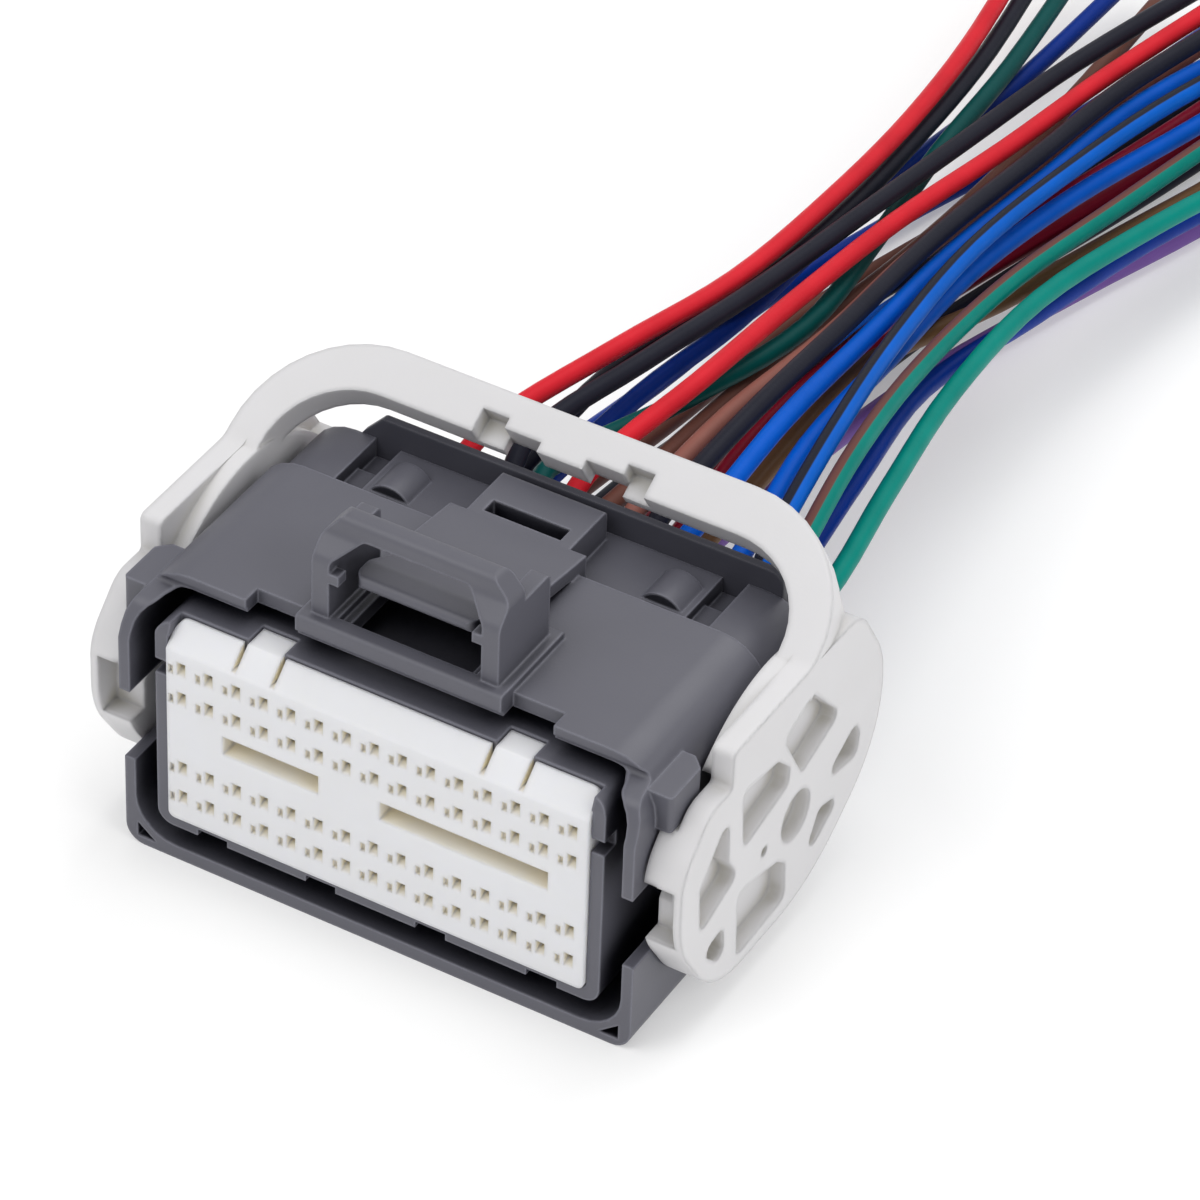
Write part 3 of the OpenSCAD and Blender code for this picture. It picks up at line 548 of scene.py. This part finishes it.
class WireBundle:
    """All the wires behind the connector, with the strands at their cut ends."""

    def __init__(self, groups: Groups) -> None:
        """List the wires, from the uppermost row to the lowest.

        Args:
            groups: The shared node groups.
        """
        self.groups = groups
        self.harness = Harness()
        self.finishes: dict[Insulation, bpy.types.Material] = {}
        c = Insulation
        rows = (
            (c.RED, 2, 3, Lay.TOP, (-10.5, -8, -6.5, -7, -8.5, -11, -15.8)),
            (c.BLACK, 4, 3, Lay.TOP, (-7.5, -5.5, -4.5, -4, -3.5, -2.5, 0.9)),
            (c.DARK_GREEN, 5, 3, Lay.SECOND, (-5.5, -2, -0.5, -3, -6, -8, -11.4)),
            (c.RED, 6, 3, Lay.TOP, (-2, -1, -1.5, -1.5, -0.5, 0.5, 3.3)),
            (c.BROWN, 7, 3, Lay.SINKING, (0, -0.5, -1.5, -1.5, -2, -3, -4.4)),
            (c.PINK_BROWN, 8, 3, Lay.SECOND, (2, 1.5, 1.5, 0.5, 1, 1.5, 4.3)),
            (c.BLACK, 9, 3, Lay.TOP, (4.5, 4, 3, 2, 2, 2.5, 5.9)),
            (c.BLUE, 10, 3, Lay.UPPER, (7, 6, 4.5, 3, 3, 3.5, 8.3)),
            (c.BLUE, 12, 3, Lay.SECOND, (10.5, 8, 6.5, 5, 5.5, 8, 12.1)),
            (c.BLUE_BLACK, 13, 3, Lay.TOP, (12.5, 10, 7, 5, 5, 6.5, 11.3)),
            (c.GREEN_BROWN, 14, 3, Lay.UPPER, (14.5, 12, 9.5, 8.5, 9.5, 11, 13.8)),
            (c.BLACK, 3, 2, Lay.ARCHED, (-8.5, -8.4, -6.2, -6.5, -8, -10, -14.1)),
            (c.NAVY, 4, 2, Lay.THIRD, (-6.5, -6, -6, -7.5, -8, -7.5, -7.5)),
            (c.MAROON, 9, 2, Lay.THIRD, (4.5, 3.5, 2.5, 2.5, 3.5, 5.5, 8.9)),
            (c.TAN, 10, 2, Lay.THIRD, (6.5, 6, 4.5, 7.5, 10, 12.8, 15.6)),
            (c.NAVY, 13, 2, Lay.THIRD, (13.5, 12, 9.5, 10.5, 12, 15, 18.4)),
            (c.GREEN, 14, 2, Lay.SIDE, (16.5, 14.5, 11.9, 10.9, 13, 16.6, 20.2)),
            (c.NAVY, 1, 1, Lay.LOW, (-13, -12.5, -12.5, -12.5, -9.5, -5, -0.5)),
            (c.BLACK, 4, 1, Lay.LOW, (-6.5, -6.5, -6.5, -6.8, -3.8, 0.4, 4.8)),
            (c.MAROON, 6, 1, Lay.LOW, (-2.5, -2.5, -3, -3, 0, 4, 8.6)),
            (c.PURPLE, 8, 1, Lay.LOW, (2.5, 2.5, 2, 3, 7, 11.8, 15.6)),
            (c.BROWN, 2, 0, Lay.FLOOR, (-11, -10.5, -10, -9.5, -6, -1.5, 2.9)),
            (c.BLUE, 5, 0, Lay.FLOOR, (-4.5, -4.5, -4.5, -5, -1.9, 2.2, 6.7)),
            (c.BLACK, 7, 0, Lay.FLOOR, (0, 0, -0.5, -1, 1.9, 5.8, 10.5)))
        self.wires = [Wire(i + 1, *row, self.harness) for i, row in enumerate(rows)]

    def finish_of(self, insulation: Insulation) -> bpy.types.Material:
        """Return the material of an insulation, made at its first use."""
        if insulation not in self.finishes:
            _, tone, stripe = insulation.value
            finish = WireFinish(f"insulation_{insulation.name.lower()}", tone, stripe)
            self.finishes[insulation] = finish.material(self.groups)
        return self.finishes[insulation]

    def strands_pattern(self) -> bpy.types.Object:
        """Model the cut strands of one wire once, at the origin and along +Y.

        Returns:
            A piece to copy, which isn't kept itself.
        """
        strand, core, length, edge, around = 0.00014, 0.0003, 0.0012, 0.00003, 6
        bpy.ops.object.select_all(action="DESELECT")
        made = []
        for i in range(around + 1):
            turn = math.radians(360 / around * i)
            place = (0, 0, 0) if i == around else (core * math.cos(turn), 0, core * math.sin(turn))
            bpy.ops.mesh.primitive_cylinder_add(vertices=10, radius=strand, depth=length, location=place,
                                                rotation=(math.radians(90), 0, 0))
            piece = bpy.context.object
            bpy.ops.object.mode_set(mode="EDIT")
            bpy.ops.mesh.select_all(action="SELECT")
            bpy.ops.mesh.bevel(offset=edge, segments=1, affect="EDGES")
            bpy.ops.object.mode_set(mode="OBJECT")
            made.append(piece)
        for piece in made:
            piece.select_set(True)
        bpy.context.view_layer.objects.active = made[0]
        bpy.ops.object.join()
        pattern = bpy.context.object
        bpy.ops.object.transform_apply(location=True, rotation=True, scale=True)
        bpy.ops.object.select_all(action="DESELECT")
        return pattern

    def strands(self, pattern: bpy.types.Object, wire: Wire, line: list[Vector],
                metal: bpy.types.Material) -> bpy.types.Object:
        """Copy the strands to a wire's cut end.

        Args:
            pattern: The strands at the origin.
            wire: The wire that they belong to.
            line: Its middle line, in metres.
            metal: The strands' finish.

        Returns:
            The new piece.
        """
        sunk = 0.0003
        run = (line[-1] - line[-2]).normalized()
        across = run.cross(Vector((0, 0, 1))).normalized()
        up = across.cross(run)
        turn = Matrix((across, run, up)).transposed().to_4x4()
        mesh = pattern.data.copy()
        mesh.name = f"strands_{wire.number:02d}"
        mesh.transform(Matrix.Translation(line[-1] - run * sunk) @ turn)
        mesh.materials.clear()
        mesh.materials.append(metal)
        piece = bpy.data.objects.new(mesh.name, mesh)
        bpy.context.scene.collection.objects.link(piece)
        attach(piece, BASE)
        return piece

    def build(self, metal: bpy.types.Material) -> None:
        """Args:
            metal: Finish of the cut strands.
        """
        pattern = self.strands_pattern()
        for wire in self.wires:
            line = wire.route()
            piece = wire.tube(line)
            piece.data.materials.append(self.finish_of(wire.insulation))
            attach(piece, BASE)
            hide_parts(f"wire_{wire.number:02d}")
            end = self.strands(pattern, wire, line, metal)
        bpy.data.objects.remove(pattern)


@dataclass(frozen=True)
class Moulding:
    """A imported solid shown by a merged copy, whose curved faces are shaded smooth."""

    node: str
    body: str
    slot: str
    finish: MouldedFinish
    crease_deg: float = 27.0
    rounding: float = 0.0006
    merge: float = 0.000001
    flat_deg: float = 0.1

    def rounded_edges(self, mesh: bmesh.types.BMesh) -> list[bmesh.types.BMEdge]:
        """Choose the edges that get a rounding of their own: none, unless a kind of moulding has some."""
        return []

    def build(self, groups: Groups) -> bpy.types.Object:
        """Copy the solid, merge its corners, smooth its curves and put on the finish.

        Args:
            groups: The shared node groups.

        Returns:
            The new piece.
        """
        piece = bpy.data.objects.new(f"{self.node}_moulding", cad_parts[self.node].data.copy())
        bpy.context.scene.collection.objects.link(piece)
        bpy.ops.object.select_all(action="DESELECT")
        piece.select_set(True)
        bpy.context.view_layer.objects.active = piece
        bpy.ops.mesh.customdata_custom_splitnormals_clear()
        bpy.ops.object.mode_set(mode="EDIT")
        bpy.ops.mesh.select_all(action="SELECT")
        bpy.ops.mesh.remove_doubles(threshold=self.merge)
        bpy.ops.mesh.dissolve_limited(angle_limit=math.radians(self.flat_deg))
        bpy.ops.mesh.select_all(action="DESELECT")
        mesh = bmesh.from_edit_mesh(piece.data)
        chosen = self.rounded_edges(mesh)
        for edge in chosen:
            edge.select_set(True)
        bmesh.update_edit_mesh(piece.data)
        if chosen:
            bpy.ops.mesh.bevel(offset=self.rounding, segments=4, affect="EDGES", clamp_overlap=True)
        bpy.ops.object.mode_set(mode="OBJECT")
        bpy.ops.object.shade_smooth_by_angle(angle=math.radians(self.crease_deg))
        even = piece.modifiers.new("even_shading", "WEIGHTED_NORMAL")
        even.keep_sharp = True
        even.weight = 100
        bpy.ops.object.modifier_apply(modifier=even.name)
        piece.data.materials.clear()
        piece.data.materials.append(self.finish.material(groups))
        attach(piece, self.body)
        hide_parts(self.node)
        log.info("%s: %d faces", piece.name, len(piece.data.polygons))
        return piece


@dataclass(frozen=True)
class LeverMoulding(Moulding):
    """The lever, whose bail has rounded edges. Places are in metres, in the lever's rest pose."""

    kink: tuple[float, float] = (0.0176, 0.02271)
    slope_deg: float = 32.0
    strap: float = 0.0025
    inner_edge: float = 0.00675
    grip_end: float = 0.0091
    grip_half: float = 0.0073
    foot: float = 0.001
    corner_deg: float = 50.0

    def on_slope(self, point: Vector) -> tuple[float, float]:
        """Return how far a point is up the bail's slope and out of its upper face."""
        turn = math.radians(self.slope_deg)
        y, z = point.y - self.kink[0], point.z - self.kink[1]
        return y * math.cos(turn) + z * math.sin(turn), z * math.cos(turn) - y * math.sin(turn)

    def rounded_edges(self, mesh: bmesh.types.BMesh) -> list[bmesh.types.BMEdge]:
        """Choose the long edges of the bail, without the grip in the middle of its inner side.

        Args:
            mesh: The merged lever.

        Returns:
            The edges to round.
        """
        near = 0.00002

        def on_bail(vert: bmesh.types.BMVert) -> bool:
            """Tell whether a corner lies on the bail's upper or lower face, outside the grip."""
            up, out = self.on_slope(vert.co)
            faced = abs(out) < near or abs(out + self.strap) < near
            grip = abs(vert.co.x) < self.grip_half and self.inner_edge + near < up < self.grip_end
            return faced and up > self.foot and not grip

        return [edge for edge in mesh.edges if all(on_bail(v) for v in edge.verts)
                and edge.is_manifold and edge.calc_face_angle() > math.radians(self.corner_deg)]


@dataclass(frozen=True)
class Dress:
    """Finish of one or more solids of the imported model."""

    nodes: tuple[str, ...]
    finish: MouldedFinish | MetalFinish

    def put_on(self, groups: Groups) -> None:
        """Give the solids their finish.

        Args:
            groups: The shared node groups.
        """
        made = self.finish.material(groups)
        for name in self.nodes:
            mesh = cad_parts[name].data
            mesh.materials.clear()
            mesh.materials.append(made)
            log.info("%s: %s", name, made.name)


@dataclass(frozen=True)
class Studio:
    """Camera, light and floor."""

    lens_mm: float = 193.32
    sensor_mm: float = 36.0
    place: tuple[float, float, float] = (0.171558, -0.277150, 0.297658)
    right: tuple[float, float, float] = (0.860654, 0.508331, 0.029571)
    up: tuple[float, float, float] = (-0.341946, 0.533965, 0.773275)
    back: tuple[float, float, float] = (0.377290, -0.675634, 0.633381)
    room_light: float = 0.5
    room_gloss: float = 0.6
    floor_side: float = 6.0
    floor_drop: float = 0.00002
    floor_tone: float = 0.72
    floor_glow: float = 0.3

    def camera(self) -> None:
        """Stand the camera where the photograph was taken from."""
        lens = bpy.data.cameras.new("photo_view")
        lens.sensor_width = self.sensor_mm
        lens.lens = self.lens_mm
        lens.clip_start = 0.01
        lens.clip_end = 20.0
        seat = bpy.data.objects.new("photo_view", lens)
        turn = Matrix((self.right, self.up, self.back)).transposed().to_4x4()
        seat.matrix_world = Matrix.Translation(self.place) @ turn
        bpy.context.scene.collection.objects.link(seat)
        bpy.context.scene.camera = seat

    def lamp(self, name: str, place: Sequence[float], aim: Sequence[float], size: float,
             watts: float) -> None:
        """Hang one soft square lamp.

        Args:
            name: The lamp's name.
            place: Where it hangs, in metres.
            aim: The point it faces.
            size: Its side, in metres.
            watts: Its power.
        """
        light = bpy.data.lights.new(name, "AREA")
        light.shape = "SQUARE"
        light.size = size
        light.energy = watts
        seat = bpy.data.objects.new(name, light)
        facing = (Vector(aim) - Vector(place)).to_track_quat("-Z", "Y")
        seat.matrix_world = Matrix.Translation(place) @ facing.to_matrix().to_4x4()
        bpy.context.scene.collection.objects.link(seat)

    def light(self) -> None:
        """Set a white room with four soft lamps."""
        world = bpy.data.worlds.new("white_room")
        bpy.context.scene.world = world
        world.use_nodes = True
        board = NodeBoard(world.node_tree)
        ray = board.add("ShaderNodeLightPath")
        lit = board.add("ShaderNodeMapRange", {"Value": ray.outputs["Is Glossy Ray"],
                                               "To Min": self.room_light, "To Max": self.room_gloss})
        seen = board.add("ShaderNodeMath", {0: lit.outputs[0], 1: ray.outputs["Is Camera Ray"]},
                         operation="MAXIMUM")
        room = board.add("ShaderNodeBackground", {"Color": (1, 1, 1, 1), "Strength": seen.outputs[0]})
        board.add("ShaderNodeOutputWorld", {"Surface": room.outputs[0]})
        middle = (0, 0.015, 0.012)
        self.lamp("key", place=(-0.2, -0.32, 0.5), aim=middle, size=0.4, watts=1.25)
        self.lamp("top", place=(0.02, 0.06, 0.6), aim=middle, size=0.3, watts=0.6)
        self.lamp("side", place=(0.5, -0.1, 0.35), aim=middle, size=0.4, watts=0.85)
        self.lamp("rear", place=(0.05, 0.45, 0.5), aim=(0, 0.03, 0.01), size=0.45, watts=1.1)

    def floor(self) -> None:
        """Lay the pale floor, which shows white and keeps the shadow."""
        bpy.ops.object.select_all(action="DESELECT")
        bpy.ops.mesh.primitive_plane_add(size=self.floor_side, location=(0, 0, -self.floor_drop))
        plane = bpy.context.object
        plane.name = "floor"
        made = bpy.data.materials.new("white_floor")
        made.use_nodes = True
        board = NodeBoard(made.node_tree)
        shader = board.add("ShaderNodeBsdfPrincipled", {"Base Color": (*[self.floor_tone] * 3, 1),
                                                        "Roughness": 0.8, "Emission Color": (1, 1, 1, 1),
                                                        "Emission Strength": self.floor_glow,
                                                        "Specular IOR Level": 0.1})
        board.add("ShaderNodeOutputMaterial", {"Surface": shader.outputs[0]})
        plane.data.materials.append(made)
        bpy.context.scene.view_settings.view_transform = "Standard"


def mouldings() -> list[Moulding]:
    """Return the plastic mouldings that show."""
    # Housing: the near-black pocket tone is painted shade in the moat and pockets; the much lighter edge tone
    # is a painted highlight.
    housing = MouldedFinish("housing_plastic", tone=(92, 92, 101), mottle_tone=(86, 86, 95),
                            painted_highlight_tone=(138, 138, 150), painted_recess_shading_tone=(10, 10, 20), roughness=0.42,
                            edge_radius=0.00035, gloss=0.5, recess=(0.006, 0.58, 0.24))
    # Cover: the darker pocket tone is painted shade; the lighter edge tone is a painted highlight.
    cover = MouldedFinish("cover_plastic", tone=(70, 70, 79), mottle_tone=(64, 64, 73),
                          painted_highlight_tone=(90, 90, 99), painted_recess_shading_tone=(56, 56, 64), roughness=0.5)
    # Holder: the pocket tone is lighter and warmer than the body, painted light in the windows and slots.
    holder = MouldedFinish("holder_plastic", tone=(227, 228, 232), mottle_tone=(223, 223, 224),
                           painted_highlight_tone=(230, 231, 236), painted_recess_shading_tone=(239, 231, 210), roughness=0.46,
                           grain_depth=0.000003, edge_radius=0.00045, subsurface=0.7,
                           recess=(0.0024, 0.8, 0.35))
    # Lever: the beige pocket tone is painted shade in the plates' pockets; the lighter edge tone is a painted
    # highlight.
    lever = MouldedFinish("lever_plastic", tone=(216, 215, 217), mottle_tone=(211, 210, 211),
                          painted_highlight_tone=(221, 220, 222), painted_recess_shading_tone=(186, 183, 174), roughness=0.46,
                          edge_radius=0.0006, subsurface=0.08)
    return [Moulding("housing", BASE, "housing_grey", housing),
            Moulding("rear_cover", BASE, "housing_grey", cover),
            Moulding("front_holder", BASE, "holder_white", holder),
            LeverMoulding("lever", LEVER, "lever_white", lever)]


def dresses() -> list[Dress]:
    """Return the finishes of the solids that keep their own shape."""
    # Seal and plug: the darker pocket tone is painted shade and the lighter edge tone is a painted highlight.
    seal = MouldedFinish("seal_rubber", tone=(52, 52, 55), mottle_tone=(44, 44, 47),
                         painted_highlight_tone=(66, 66, 70), painted_recess_shading_tone=(36, 36, 39), roughness=0.6)
    plug = MouldedFinish("plug_plastic", tone=(60, 60, 63), mottle_tone=(52, 52, 55),
                         painted_highlight_tone=(80, 80, 84), painted_recess_shading_tone=(44, 44, 47), roughness=0.45)
    contact = MetalFinish("contact_tin", tone=(206, 206, 202), dull_tone=(178, 178, 176), roughness=0.3)
    rows = tuple(f"terminals_row_{i}" for i in range(1, 5))
    return [Dress(("perimeter_seal", "wire_seal"), seal), Dress(("blanking_plugs",), plug),
            Dress(rows, contact)]


def main() -> None:
    """Build the scene in order."""
    logging.basicConfig(level=logging.INFO, format="%(message)s")
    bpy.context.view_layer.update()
    groups = Groups(moulded_grain_group(), soft_edge_and_highlight_group(), painted_recess_shading_group(), wire_stripe_group())
    studio = Studio()
    studio.camera()
    copper = MetalFinish("strand_copper", tone=(214, 168, 138), dull_tone=(190, 140, 110), roughness=0.3)
    WireBundle(groups).build(copper.material(groups))
    for moulding in mouldings():
        moulding.build(groups)
    for dress in dresses():
        dress.put_on(groups)
    studio.light()
    studio.floor()


if __name__ == "__main__":
    main()
